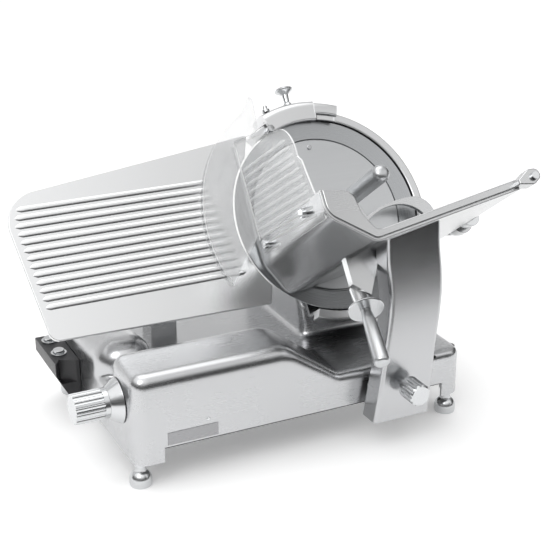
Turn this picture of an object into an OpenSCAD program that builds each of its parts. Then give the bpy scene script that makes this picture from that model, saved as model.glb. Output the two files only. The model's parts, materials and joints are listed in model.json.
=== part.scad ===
// Gravity-feed meat slicer: a leaning blade, a sliding food tray and a top-mounted sharpener.
// Millimetres. +X runs along the tray's travel, +Y to the rear, +Z up.
// The origin lies on the bench, under the middle of the whole machine's outline.

/* [Blade] */
// Blade diameter
blade_d = 350; // [320:5:360]
// Lean of the blade from upright, degrees
blade_lean = 36; // [30:1:42]
// Height of the blade's centre over the bench
blade_h = 330; // [320:5:360]
// Diameter of the flat cover over the blade
cover_d = 278; // [240:2:284]
// Width of the guard ring round the blade
ring_w = 16; // [8:1:17]

/* [Base] */
// Length of the base casting
base_len = 606; // [600:2:660]
// Depth of the base casting
base_dep = 418; // [400:2:460]
// Height of the low deck over the bench
deck_z = 131; // [120:1:140]
// Height of the raised front housing over the bench
hump_z = 200; // [180:2:215]
// Height of the front wall's lower edge
slot_z = 72; // [68:1:80]
// Height of the base's lowest edge
base_z = 46; // [40:1:50]
// Wall thickness of the castings
wall = 6; // [5:0.5:8]

/* [Gauge plate] */
// Height of each rib on the gauge plate
rib_h = 1.5; // [1:0.5:2]
// Number of ribs
rib_count = 13; // [9:1:15]
// Clearance between blade edge and gauge plate
gauge_gap = 3; // [2:0.5:5]

/* [Carriage] */
// Distance from the blade's face to the tray's outer end
tray_out = 275; // [250:5:280]
// Clearance between tray and blade
tray_gap = 4; // [3:0.5:6]
// Rise of the tray's floor away from the side wall, degrees
tray_rise = 9; // [6:0.5:10]
// Diameter of the guide rod
guide_d = 25; // [20:1:30]
// Diameter of the pusher's rod
rod_d = 14; // [12:1:18]

/* [Controls] */
// Diameter of the slice thickness knob
knob_d = 50; // [40:1:56]
// Diameter of the switch buttons
button_d = 22; // [18:1:24]

/* [Hidden] */
$fn = 64;
blade_r = blade_d / 2;
layout_shift = [12.5, 66.92, 0];
blade_c = [141, 16, blade_h];
x_left = -316;
x_right = x_left + base_len;
y_front = -base_dep / 2;
y_back = base_dep / 2;
foot_x = [-299, 277];
foot_y = 181;
knob_y = -136;
knob_z = 134;
rod_y = -150;
rod_z = 95;
bar_y = -86;
arm_y = -259;
arm_t = 40;
pivot_y = -239;
pivot_z = 62;
neck_x = 150;
switch_y = [158, 102];
switch_x = -340;
switch_top = 119;
hub_r = 45;
pulley_r = 18;
motor_u = -75;
plate_t = 8;
push_x = 235;
push_u = -67.5;
boss_n = 262;
shaft_x = -300;
shaft_u = -30;
tray_u = -110.4;
handle_x = -77;
handle_u = -214;
handle_n = 185;
cast_grey = [0.78, 0.79, 0.80];
steel_grey = [0.70, 0.71, 0.73];
chrome_grey = [0.85, 0.86, 0.88];
rubber_black = [0.09, 0.09, 0.10];

// Points along an arc, from angle a0 to a1.
function arc(cx, cy, r, a0, a1, n) =
  [for (i = [0:n]) let (a = a0 + (a1 - a0) * i / n) [cx + r * cos(a), cy + r * sin(a)]];

// Outline of a rectangle with round corners.
function round_rect(x0, y0, x1, y1, r) = concat(
  arc(x1 - r, y1 - r, r, 0, 90, 8), arc(x0 + r, y1 - r, r, 90, 180, 8),
  arc(x0 + r, y0 + r, r, 180, 270, 8), arc(x1 - r, y0 + r, r, 270, 360, 8));

// Moves the layout, drawn round the middle of the feet, to the middle of the outline.
module to_frame() {
  translate(layout_shift) children();
}

// The blade's own frame: x along the travel, y up the blade, z out of its face.
module in_blade() {
  translate(blade_c) rotate([90 - blade_lean, 0, 0]) children();
}

// The tray floor's frame: its underside is the plane y = 0.
module in_tray() {
  in_blade() translate([0, tray_u, 0]) rotate([0, 0, tray_rise]) children();
}

// A box between two corners.
module box(lo, hi) {
  translate(lo) cube(hi - lo);
}

// A side profile of [y, z] points, drawn out along X from x0 to x1.
module along_x(points, x0, x1) {
  translate([x0, 0, 0]) rotate([90, 0, 90]) linear_extrude(x1 - x0) polygon(points);
}

// A front profile of [x, z] points, drawn out along Y from y0 to y1.
module along_y(points, y0, y1) {
  translate([0, y1, 0]) rotate([90, 0, 0]) linear_extrude(y1 - y0) polygon(points);
}

module rod_x(x0, x1, r) {
  translate([x0, 0, 0]) rotate([0, 90, 0]) cylinder(h = x1 - x0, r = r);
}

module rod_y(y0, y1, r) {
  translate([0, y0, 0]) rotate([-90, 0, 0]) cylinder(h = y1 - y0, r = r);
}

// A ribbed grip: a round body with evenly spaced grooves along it.
module fluted(r, h, grooves, groove_r) {
  difference() {
    cylinder(h = h, r = r);
    for (i = [0:grooves - 1])
      rotate([0, 0, i * 360 / grooves]) translate([r + groove_r * 0.45, 0, 8])
        cylinder(h = h, r = groove_r, $fn = 20);
  }
}

// Front profile of the base: high at the left, falling to the low deck at the right.
base_front = concat([[x_left, base_z], [x_left, hump_z]],
  arc(-66, hump_z - 60, 60, 90, 50, 5), arc(56, deck_z + 30, 30, 230, 270, 4),
  [[x_right, deck_z], [x_right, base_z]]);

// Side profile of the rear left body, leaning back under the gauge plate.
body_side = [[-60, deck_z - 2], [-60, 172], [-36, 196], [60, 196], [y_back, 160], [y_back, deck_z - 2]];
body_room = [[-54, deck_z - 20], [-54, 169], [-33, 190], [58, 190], [y_back - 6, 156], [y_back - 6, deck_z - 20]];

// Side profile of the column that carries the blade housing.
function blade_yz(u, n) = [
  blade_c[1] + u * sin(blade_lean) - n * cos(blade_lean),
  blade_c[2] + u * cos(blade_lean) + n * sin(blade_lean)];
column_side = [[-58, deck_z - 2], blade_yz(-150, -44), blade_yz(60, -44), [200, 300], [203, deck_z - 2]];
column_room = [[-48, deck_z - 20], blade_yz(-143, -52), blade_yz(48, -52), [192, 293], [195, deck_z - 20]];

inner_plan = round_rect(x_left + wall, y_front + wall, x_right - wall, y_back - wall, 18);

module base_casting() {
  color(cast_grey) to_frame() difference() {
    intersection() {
      translate([0, 0, base_z])
        linear_extrude(340) polygon(round_rect(x_left, y_front, x_right, y_back, 24));
      union() {
        along_y(base_front, y_front, -95);
        box([x_left, -96, base_z], [x_right, y_back, deck_z]);
        along_x(body_side, x_left, -215);
        along_x(column_side, 60, 240);
      }
    }
    translate([0, 0, base_z - 1]) linear_extrude(deck_z - wall - base_z + 1) polygon(inner_plan);
    translate([0, 0, base_z]) linear_extrude(hump_z - wall - base_z)
      polygon(round_rect(x_left + wall, y_front + wall, -66, -95 - wall, 18));
    intersection() {
      along_x(body_room, x_left + wall, -215 - wall);
      linear_extrude(300) polygon(inner_plan);
    }
    along_x(column_room, 68, 232);
    box([-267, y_front - 1, base_z - 1], [250, y_front + wall + 1, slot_z]);
    translate([0, knob_y, knob_z]) rod_x(x_left - 1, x_left + wall + 1, 8.05);
    in_blade() translate([0, motor_u, -60]) cylinder(h = 40, r = 12);
    in_blade() translate([0, 0, -70]) cylinder(h = 40, r = 12);
    translate([150, y_back - wall - 1, 80]) rod_y(0, wall + 2, 9);
  }
  color(cast_grey) to_frame() for (x = [x_left + wall, x_right - wall - 14])
    translate([0, rod_y, rod_z]) difference() {
      rod_x(x < 0 ? x - 2 : x, x < 0 ? x + 14 : x + 16, 20);
      rod_x(x_left + wall, x_right - wall, guide_d / 2);
    }
  color(cast_grey) to_frame() for (x = foot_x, sy = [-1, 1])
    translate([x, sy * foot_y, base_z]) difference() {
      cylinder(h = (x > 0 ? deck_z - 3 : sy < 0 ? hump_z - 3 : 163) - base_z, r = 12);
      translate([0, 0, -1]) cylinder(h = 16, r = 4);
    }
}

module bottom_cover() {
  color(steel_grey) to_frame() difference() {
    translate([0, 0, base_z]) linear_extrude(2) intersection() {
      polygon(inner_plan);
      translate([x_left, -98]) square([base_len, y_back + 98]);
    }
    for (x = foot_x)
      translate([x, foot_y, base_z - 1]) cylinder(h = 4, r = 13.5);
  }
}

module feet() {
  color(chrome_grey) to_frame() for (x = foot_x, sy = [-1, 1])
    translate([x, sy * foot_y, 0])
      rotate_extrude() polygon(concat([[0, 0], [18, 0], [18.8, 4]], arc(0, 10, 18.8, 8, 58, 6),
        [[9, 30], [9, base_z], [3.9, base_z], [3.9, base_z + 14], [0, base_z + 14]]));
}

module nameplate() {
  color(chrome_grey) to_frame() box([-261, y_front - 0.8, 75], [-174, y_front, 97]);
}

module power_gland() {
  color(rubber_black) to_frame() translate([150, y_back, 80]) difference() {
    union() {
      rod_y(-wall, 0, 8.9);
      rod_y(0, 14, 12);
    }
    rod_y(-wall - 1, 15, 4);
  }
}

module switch_box() {
  color(rubber_black) to_frame() difference() {
    along_y([[x_left, switch_top], [x_left - 43, switch_top], [x_left - 43, switch_top - 23],
      [x_left - 23, 57], [x_left, 53]], 62, 183);
    for (y = switch_y)
      translate([switch_x, y, switch_top - 22]) cylinder(h = 23, r = button_d / 2 - 1);
    translate([x_left - 44, 58, switch_top - 40]) rotate([0, 0, -33]) cube([40, 24, 60]);
  }
}

module switch_rings() {
  color(chrome_grey) to_frame() for (y = switch_y)
    translate([switch_x, y, switch_top]) difference() {
      cylinder(h = 3, r = button_d / 2 + 3);
      translate([0, 0, -1]) cylinder(h = 5, r = button_d / 2 - 1);
    }
}

module push_button(y) {
  color(chrome_grey) to_frame() translate([switch_x, y, switch_top - 12]) cylinder(h = 20, r = button_d / 2 - 1.4);
}

module start_button() {
  push_button(switch_y[0]);
}

module stop_button() {
  push_button(switch_y[1]);
}

module thickness_knob() {
  color(cast_grey) to_frame() translate([x_left - 20, knob_y, knob_z]) rotate([0, -90, 0])
    difference() {
      fluted(knob_d / 2, 56, 16, 4);
      translate([0, 0, -1]) cylinder(h = 31, r = 8);
    }
}

module knob_dial() {
  color(chrome_grey) to_frame() translate([x_left - 0.5, knob_y, knob_z]) rotate([0, -90, 0])
    difference() {
      cylinder(h = 19.5, r1 = 38, r2 = 25);
      translate([0, 0, -1]) cylinder(h = 22, r = 8);
    }
}

module knob_shaft() {
  color(steel_grey) to_frame() translate([0, knob_y, knob_z]) {
    rod_x(x_left - 50, -160, 8);
    rod_x(-190, -180, 14);
  }
}

// Outline of the gauge plate, its right edge hollowed round the blade.
gauge_hollow = blade_r + gauge_gap;
gauge_outline = concat(
  arc(-521, -117, 18, 188, 262, 6), [[-150, -140]],
  [for (i = [0:24]) let (a = 218 - i * 82 / 24) [gauge_hollow * cos(a), gauge_hollow * sin(a)]],
  arc(-121, 150, 14, 60, 98, 4), arc(-504, 60.5, 59, 101, 189, 10));

module gauge_plate() {
  color(cast_grey) to_frame() in_blade() {
    translate([0, 0, -plate_t]) linear_extrude(plate_t) polygon(gauge_outline);
    for (i = [0:rib_count - 1]) {
      u = 90 - i * 168 / (rib_count - 1);
      left = u > 45 ? -504 - sqrt(3481 - pow(u - 60.5, 2)) + 11 : -551 + (45 - u) * 0.14;
      right = -209 + (90 - u) * 0.17;
      box([left, u - 4.5, -0.5], [right, u + 4.5, rib_h]);
    }
  }
}

module gauge_bracket() {
  color(cast_grey) to_frame() in_blade() difference() {
    union() {
      box([shaft_x - 90, -80, -20], [shaft_x + 90, 50, -plate_t]);
      translate([shaft_x, shaft_u, -46]) cylinder(h = 30, r = 26);
    }
    translate([shaft_x, shaft_u, -50]) cylinder(h = 30, r = 14);
  }
}

module gauge_shaft() {
  color(steel_grey) to_frame() in_blade() translate([shaft_x, shaft_u, -148]) cylinder(h = 128, r = 14);
}

module gauge_guide() {
  color(cast_grey) to_frame() difference() {
    union() {
      in_blade() translate([shaft_x, shaft_u, -128]) cylinder(h = 60, r = 24);
      box([blade_c[0] + shaft_x - 24, 62, deck_z], [blade_c[0] + shaft_x + 24, 106, 232]);
    }
    in_blade() translate([shaft_x, shaft_u, -190]) cylinder(h = 140, r = 14.05);
  }
}

module blade() {
  color(chrome_grey) to_frame() in_blade() rotate_extrude($fn = 128)
    polygon([[38, -9], [38, -5], [141, -5], [142.5, -3.4], [blade_r - 0.6, 0], [blade_r, -0.5],
      [158, -6], [120, -9]]);
}

module blade_hub() {
  color(steel_grey) to_frame() in_blade() rotate_extrude()
    polygon([[12.05, -34], [hub_r, -34], [hub_r - 4, -29], [hub_r, -24], [60, -22], [60, -9],
      [37.5, -9], [37.5, -4.8], [12.05, -4.8]]);
}

module blade_screws() {
  color(steel_grey) to_frame() in_blade() for (i = [0:3])
    rotate([0, 0, 45 + i * 90]) translate([49, 0, -5]) cylinder(h = 1.8, r = 5);
}

module blade_spindle() {
  color(steel_grey) to_frame() in_blade() {
    translate([0, 0, -60]) cylinder(h = 57.1, r = 12);
    translate([0, 0, -60]) cylinder(h = 8, r = 20);
  }
}

module blade_cover() {
  color(steel_grey) to_frame() in_blade() rotate_extrude($fn = 96)
    polygon([[0, -2.9], [cover_d / 2 - 1, -2.9], [cover_d / 2, -2], [cover_d / 2 - 0.6, -0.9], [0, -0.9]]);
}

module cover_pin() {
  color(chrome_grey) to_frame() in_blade() translate([0, 126, -0.9]) cylinder(h = 2.6, r1 = 5, r2 = 4);
}

module ring_guard() {
  color(cast_grey) to_frame() in_blade() rotate([0, 0, -112]) rotate_extrude(angle = 236, $fn = 128)
    polygon([[blade_r + 3, -22], [blade_r + 3, 1], [blade_r + 5, 2.5],
      [blade_r + 3 + ring_w - 2, 2.5], [blade_r + 3 + ring_w, 0], [blade_r + 3 + ring_w, -22]]);
}

module blade_housing() {
  color(cast_grey) to_frame() in_blade() difference() {
    union() {
      translate([0, 0, -44]) cylinder(h = 8, r = 183, $fn = 128);
      rotate([0, 0, -112]) rotate_extrude(angle = 174, $fn = 128)
        polygon([[177, -37], [177, -22], [184, -22], [184, -37]]);
    }
    box([-200, -200, -60], [-70, 200, 0]);
    translate([0, 0, -61]) cylinder(h = 30, r = 12);
    translate([0, motor_u, -61]) cylinder(h = 30, r = 10);
    translate([-28, 155, -61]) cylinder(h = 30, r = 8);
  }
}

module slice_deflector() {
  color(steel_grey) to_frame() in_blade() intersection() {
    difference() {
      union() {
        box([-170, -120, -13.5], [-66, 120, -12]);
        box([-69, -120, -36], [-66, 120, -12]);
      }
      translate([0, 0, -14]) cylinder(h = 3, r = 62);
    }
    translate([0, 0, -40]) cylinder(h = 40, r = 170, $fn = 96);
  }
}

module motor() {
  color(steel_grey) to_frame() in_blade() translate([0, motor_u, -52]) {
    translate([0, 0, -10]) cylinder(h = 10, r = 46);
    translate([0, 0, -112]) cylinder(h = 102, r = 42);
  }
}

module motor_pulley() {
  color(steel_grey) to_frame() in_blade() translate([0, motor_u, 0]) {
    translate([0, 0, -51.7]) cylinder(h = 20, r = 8);
    rotate_extrude() polygon([[0, -35], [pulley_r, -35], [pulley_r - 4, -29], [pulley_r, -23], [0, -23]]);
  }
}

// One loop of round belt, laid in the grooves of both pulleys with a little play.
module drive_belt() {
  a = hub_r - 1.5;
  b = pulley_r - 1.5;
  lean = asin((a - b) / -motor_u);
  color(rubber_black) to_frame() in_blade() translate([0, 0, -30.5]) linear_extrude(3) difference() {
    polygon(concat(arc(0, 0, a + 4, -lean, 180 + lean, 40), arc(0, motor_u, b + 4, 180 + lean, 360 - lean, 24)));
    polygon(concat(arc(0, 0, a, -lean, 180 + lean, 40), arc(0, motor_u, b, 180 + lean, 360 - lean, 24)));
  }
}

module guide_rod() {
  color(chrome_grey) to_frame() translate([0, rod_y, rod_z]) rod_x(x_left + wall, x_right - wall, guide_d / 2);
}

module guide_bar() {
  color(chrome_grey) to_frame() box([x_left + wall, bar_y - 6, 82], [x_right - wall, bar_y + 6, 94]);
}

module carriage_foot() {
  color(cast_grey) to_frame() difference() {
    union() {
      box([85, rod_y - 22, 73], [215, rod_y + 22, 117]);
      box([neck_x - 16, pivot_y, 54], [neck_x + 16, rod_y - 10, 69]);
      box([neck_x - 40, rod_y - 40, 54], [neck_x + 40, rod_y - 10, 110]);
      box([neck_x - 50, rod_y + 20, 99], [neck_x + 50, bar_y + 14, 115]);
      translate([0, pivot_y, pivot_z]) rod_x(neck_x - 16, neck_x + 16, 10);
    }
    translate([0, rod_y, rod_z]) rod_x(80, 220, 17);
    translate([0, pivot_y, pivot_z]) rod_x(neck_x - 20, neck_x + 20, 6.05);
  }
}

module bushings() {
  color([0.72, 0.55, 0.30]) to_frame() translate([0, rod_y, rod_z]) for (x = [85, 180]) difference() {
    rod_x(x, x + 35, 17);
    rod_x(x - 1, x + 36, guide_d / 2 + 0.05);
  }
}

module guide_shoe() {
  color([0.9, 0.9, 0.88]) to_frame() difference() {
    box([neck_x - 30, bar_y - 12, 78], [neck_x + 30, bar_y + 12, 99]);
    box([neck_x - 31, bar_y - 6.5, 77], [neck_x + 31, bar_y + 6.5, 94.5]);
  }
}

// Front outline of the upright arm, a little wider half way up.
arm_front = [[86, 54], [193, 54], [202, 176], [210, 266], [209, 290], [200, 385],
  [199, 440], [101, 440], [102, 383], [110, 290], [111, 266], [100, 148]];

module carriage_arm() {
  color(cast_grey) to_frame() difference() {
    along_y(arm_front, arm_y, arm_y + arm_t);
    box([neck_x - 16.6, arm_y + 9.5, 50], [neck_x + 16.6, arm_y + arm_t + 1, 74]);
    translate([0, pivot_y, pivot_z]) rod_x(80, 200, 6);
    in_tray() box([-200, 0, 0], [200, 400, 400]);
    box([120, arm_y + 8, 200], [188, arm_y + arm_t + 1, 370]);
    translate([141, 0, 119]) rod_y(arm_y - 1, arm_y + 21, 6);
  }
}

module hinge_pin() {
  color(chrome_grey) to_frame() translate([0, pivot_y, pivot_z]) rod_x(92, 188, 6);
}

module arm_knob() {
  color(chrome_grey) to_frame() translate([141, arm_y - 0.3, 119]) rotate([90, 0, 0]) {
    translate([0, 0, -18]) cylinder(h = 33.4, r = 5.95);
    translate([0, 0, 15]) difference() {
      fluted(19, 38, 12, 3.6);
      translate([0, 0, 38]) rotate_extrude() polygon([[16, 0.1], [20, 0.1], [20, -4]]);
    }
  }
}

// The tray: a sloping floor, a leaning side wall, a low outer rim and the rod's two lugs.
module food_tray() {
  color(cast_grey) to_frame() difference() {
    union() {
      in_tray() translate([0, 6, 0]) rotate([90, 0, 0]) linear_extrude(6)
        polygon([[-109, tray_gap], [214, tray_gap], [214, tray_out], [-70, tray_out]]);
      in_tray() box([-64, 1, tray_out - 6.5], [222, 13.5, tray_out - 0.4]);
      in_tray() box([190, 0.6, tray_gap + 0.5], [234, 8, tray_gap + 7.5]);
      in_tray() box([190, 0.6, boss_n + 1], [234, 12, tray_out - 1]);
      in_blade() {
        hull() {
          box([-110.5, -124.5, tray_gap + 0.3], [-105.5, -122.5, tray_gap + 1]);
          box([-140.5, -74, tray_gap + 0.3], [-135.5, -68, tray_gap + 1]);
          box([-70.5, -120, tray_out - 1], [-65.5, -118, tray_out - 0.3]);
          box([-140.5, -74, tray_out - 1], [-135.5, -70, tray_out - 0.3]);
        }
        box([-141, -76, tray_gap], [-135, -30, tray_out]);
        translate([0, 0, tray_out - 7]) linear_extrude(6)
          polygon(concat([[-138, -31]], arc(-103, -51, 13, 80, 10, 4), [[-86, -80]],
            arc(-64, -94, 15, 190, 255, 4), [[-60, -112], [-68, -116], [-138, -75]]));
        translate([push_x, push_u, tray_gap]) cylinder(h = 8, r = 13);
        translate([push_x, push_u, boss_n]) cylinder(h = 38, r = 15);
      }
    }
    in_blade() translate([push_x, push_u, 0]) cylinder(h = 400, r = rod_d / 2);
  }
}

module tray_bracket() {
  color(cast_grey) to_frame() difference() {
    in_blade() union() {
      on_handle(-1) translate([0, 0, 7]) cylinder(h = 36, r1 = 15.5, r2 = 18);
      translate([0, 0, handle_n - 8]) linear_extrude(16)
        polygon([[-91, -90], [-91, -170], [-64, -192], [-8, -90]]);
    }
    in_tray() box([-200, 0, 0], [200, 100, 400]);
  }
}

// The handle's axis: way 1 points down the grip, -1 up to the bracket.
module on_handle(way) {
  translate([handle_x, handle_u, handle_n]) rotate([65, 0, -13])
    rotate([way > 0 ? 0 : 180, 0, 0]) children();
}

// Clear side guard: a tall plate on the outside of the tray's wall.
guard_side = concat([[5, -67], [268, -75], [251, -21], [240, 32]], arc(175, 50, 56, -8, 68, 8),
  [[159, 110], [123, 122], [5, 148]]);

module tray_guard() {
  color([0.85, 0.88, 0.90, 0.5]) to_frame() in_blade() difference() {
    translate([-145, 0, 0]) rotate([90, 0, 90]) linear_extrude(4)
      polygon([for (p = guard_side) [p[1], p[0]]]);
    for (n = [45, 212]) translate([-146, -46, n]) rod_x(0, 6, 3);
  }
}

// Clear wing that covers the blade's edge over the gauge plate.
module wing_guard() {
  color([0.85, 0.88, 0.90, 0.5]) to_frame() in_blade() translate([0, 0, 6]) linear_extrude(4)
    polygon(concat([[-145, -20]], arc(0, 0, 235, 205, 119, 20), [[-95, 232], [-88, 226],
      [-92, 172], [-110, 160], [-145, 152]]));
}

module guard_screws() {
  color(chrome_grey) to_frame() in_blade() for (n = [45, 212]) translate([0, -46, n]) {
    rod_x(-157, -145, 8);
    rod_x(-145, -141, 3);
  }
}

module handle_disc() {
  color(chrome_grey) to_frame() in_blade() on_handle(-1) {
    cylinder(h = 4, r = 30);
    cylinder(h = 7, r = 9);
  }
}

module carriage_handle() {
  color(steel_grey) to_frame() in_blade() on_handle(1)
    rotate_extrude() polygon(concat([[0, 0], [9, 0], [9.6, 6], [10.6, 22], [13.3, 100]],
      arc(9.3, 103, 4, 0, 90, 5), [[0, 107]]));
}

module pusher_rod() {
  color(chrome_grey) to_frame() in_blade() translate([push_x, push_u, tray_gap + 1])
    cylinder(h = boss_n + 33 - tray_gap, r = rod_d / 2);
}

module pusher_sleeve() {
  color(steel_grey) to_frame() in_blade() translate([push_x, push_u, 14]) difference() {
    union() {
      cylinder(h = 62, r = 15);
      cylinder(h = 8, r = 18);
      translate([0, 0, 56]) cylinder(h = 6, r = 18);
    }
    translate([0, 0, -1]) cylinder(h = 70, r = rod_d / 2 + 0.05);
  }
}

// Arched arm from the sleeve to the plate that holds the food.
arch_outer = concat(arc(152, -215, 212, 117, 90, 10), arc(152, -43, 40, 84, 0, 10));
arch_inner = concat(arc(120, -73, 60, 32, 90, 8), arc(120, -123, 110, 94, 126, 8), [[60, -56], [166, -54]]);

module pusher_arm() {
  color(cast_grey) to_frame() in_blade() difference() {
    union() {
      translate([0, 0, 26]) linear_extrude(9) difference() {
        polygon(concat([[-100, -20], [-88, -8], [-14, -8], [2, 22], [38, 22], [50, -12]], arch_outer,
          [[240, -50], [240, -62], [190, -66], [60, -88], [-60, -107], [-98, -84]]));
        polygon(arch_inner);
      }
      translate([push_x, push_u, 26]) cylinder(h = 18, r = 21);
    }
    translate([push_x, push_u, 0]) cylinder(h = 60, r = 15.05);
  }
}

module pusher_spikes() {
  color(steel_grey) to_frame() in_blade() for (x = [-80:20:40], u = [-60:18:-24])
    translate([x, u, 19]) cylinder(h = 7, r1 = 0.6, r2 = 2.2, $fn = 16);
}

module pusher_handle() {
  color(chrome_grey) to_frame() in_blade() translate([20, 6, 35]) rotate_extrude()
    polygon(concat([[0, 0], [12, 0], [12, 10], [15.5, 16], [15.5, 146]], arc(3.5, 147, 12, 5, 90, 8), [[0, 159]]));
}

module sharpener_post() {
  color(cast_grey) to_frame() in_blade() {
    box([-8, 150, -60], [34, 206, -44]);
    box([-8, 198.6, -60], [34, 206, -35]);
  }
}

module sharpener_cap() {
  color(cast_grey) to_frame() in_blade() difference() {
    union() {
      rotate([0, 0, 70]) rotate_extrude(angle = 43, $fn = 96)
        polygon([[198, -35], [206, -35], [209, -28], [210, 6], [206, 13], [199, 16], [174, 16], [172, 14],
          [172, 8], [198, 8]]);
      box([-45, 140, -35], [-12, 200.5, -32]);
    }
    translate([-28, 155, -40]) cylinder(h = 12, r = 3.05);
    rotate([0, 0, 68]) rotate_extrude(angle = 15, $fn = 96) polygon([[168, 6], [183, 6], [183, 30], [168, 30]]);
  }
}

module sharpener_knob() {
  color(chrome_grey) to_frame() in_blade() translate([-15, 209.8, -8]) rotate([-90, 0, 0]) rotate_extrude()
    polygon([[0, 0], [8, 0], [7, 5], [5, 8], [6, 22], [16, 29], [17, 31], [15, 34], [5, 35], [5, 33], [0, 33]]);
}

module sharpener_nut() {
  color(chrome_grey) to_frame() in_blade() translate([-66, 199.6, 4]) rotate([-90, 0, 0]) {
    cylinder(h = 5, r = 7);
    cylinder(h = 12, r = 4);
  }
}

module grind_spindle() {
  color(steel_grey) to_frame() in_blade() translate([-28, 155, 0]) {
    translate([0, 0, -52]) cylinder(h = 6, r = 7);
    translate([0, 0, -50]) cylinder(h = 29.5, r = 3);
    translate([0, 0, -20.5]) cylinder(h = 8, r = 2.5);
  }
}

module grind_stone() {
  color([0.45, 0.42, 0.40]) to_frame() in_blade() translate([-28, 155, -20.2]) difference() {
    cylinder(h = 7.5, r = 14);
    translate([0, 0, -1]) cylinder(h = 10, r = 2.55);
  }
}

base_casting();
bottom_cover();
feet();
nameplate();
power_gland();
switch_box();
switch_rings();
start_button();
stop_button();
thickness_knob();
knob_dial();
knob_shaft();
gauge_plate();
gauge_bracket();
gauge_shaft();
gauge_guide();
blade();
blade_hub();
blade_screws();
blade_spindle();
blade_cover();
cover_pin();
ring_guard();
blade_housing();
slice_deflector();
motor();
motor_pulley();
drive_belt();
guide_rod();
guide_bar();
carriage_foot();
bushings();
guide_shoe();
hinge_pin();
carriage_arm();
arm_knob();
food_tray();
tray_bracket();
tray_guard();
wing_guard();
guard_screws();
handle_disc();
carriage_handle();
pusher_rod();
pusher_sleeve();
pusher_arm();
pusher_spikes();
pusher_handle();
sharpener_post();
sharpener_cap();
sharpener_knob();
sharpener_nut();
grind_spindle();
grind_stone();
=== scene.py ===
import json
import math
import bmesh
import bpy
from mathutils import Matrix, Vector


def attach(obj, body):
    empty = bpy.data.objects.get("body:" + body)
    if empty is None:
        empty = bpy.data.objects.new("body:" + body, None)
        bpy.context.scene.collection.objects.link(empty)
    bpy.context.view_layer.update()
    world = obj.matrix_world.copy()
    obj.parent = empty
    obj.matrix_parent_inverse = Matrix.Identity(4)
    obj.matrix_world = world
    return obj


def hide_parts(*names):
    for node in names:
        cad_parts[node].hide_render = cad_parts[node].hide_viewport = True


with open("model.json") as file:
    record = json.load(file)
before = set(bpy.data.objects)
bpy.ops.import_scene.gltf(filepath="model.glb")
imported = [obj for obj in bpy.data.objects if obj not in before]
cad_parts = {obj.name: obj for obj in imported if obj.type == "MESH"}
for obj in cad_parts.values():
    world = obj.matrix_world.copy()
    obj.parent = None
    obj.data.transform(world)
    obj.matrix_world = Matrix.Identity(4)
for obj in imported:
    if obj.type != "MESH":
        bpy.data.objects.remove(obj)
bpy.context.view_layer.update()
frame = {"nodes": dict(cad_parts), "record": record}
bodyOf = {n: b for b, names in frame["record"]["behaviour"]["bodies"].items() for n in names}
print("frame loaded:", len(bodyOf), "parts")

# the drawing's own axes, in millimetres, and the leaning blade's axes
layout = {"shift": (12.5, 66.92, 0.0), "bladeCentre": (153.5, 82.92, 330.0), "lean": 36.0,
          "trayRise": 9.0, "trayDrop": -110.4}
lean = math.radians(layout["lean"])
acrossBlade = Vector((1, 0, 0))
upBlade = Vector((0, math.sin(lean), math.cos(lean)))
outOfBlade = Vector((0, -math.cos(lean), math.sin(lean)))
metres = Matrix.Scale(0.001, 4)
layoutFrame = metres @ Matrix.Translation(layout["shift"])
bladeAxes = Matrix((acrossBlade, upBlade, outOfBlade)).transposed().to_4x4()
bladeFrame = metres @ Matrix.Translation(layout["bladeCentre"]) @ bladeAxes
traySlope = math.tan(math.radians(layout["trayRise"]))
outlineAlongX = Matrix(((0, 0, 1, 0), (1, 0, 0, 0), (0, 1, 0, 0), (0, 0, 0, 1)))


class Wire:  # a socket that does sums
    def __init__(self, tree, socket):
        self.tree = tree
        self.socket = socket

    def sum(self, operation, *values):
        node = self.tree.nodes.new("ShaderNodeMath")
        node.operation = operation
        for slot, value in zip(node.inputs, values):
            plug(self.tree, slot, value)
        return Wire(self.tree, node.outputs[0])

    def __add__(self, other):
        return self.sum("ADD", self, other)

    def __radd__(self, other):
        return self.sum("ADD", other, self)

    def __sub__(self, other):
        return self.sum("SUBTRACT", self, other)

    def __mul__(self, other):
        return self.sum("MULTIPLY", self, other)


def plug(tree, slot, value):
    if isinstance(value, Wire):
        tree.links.new(value.socket, slot)
    elif value is not None:
        slot.default_value = value


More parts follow.
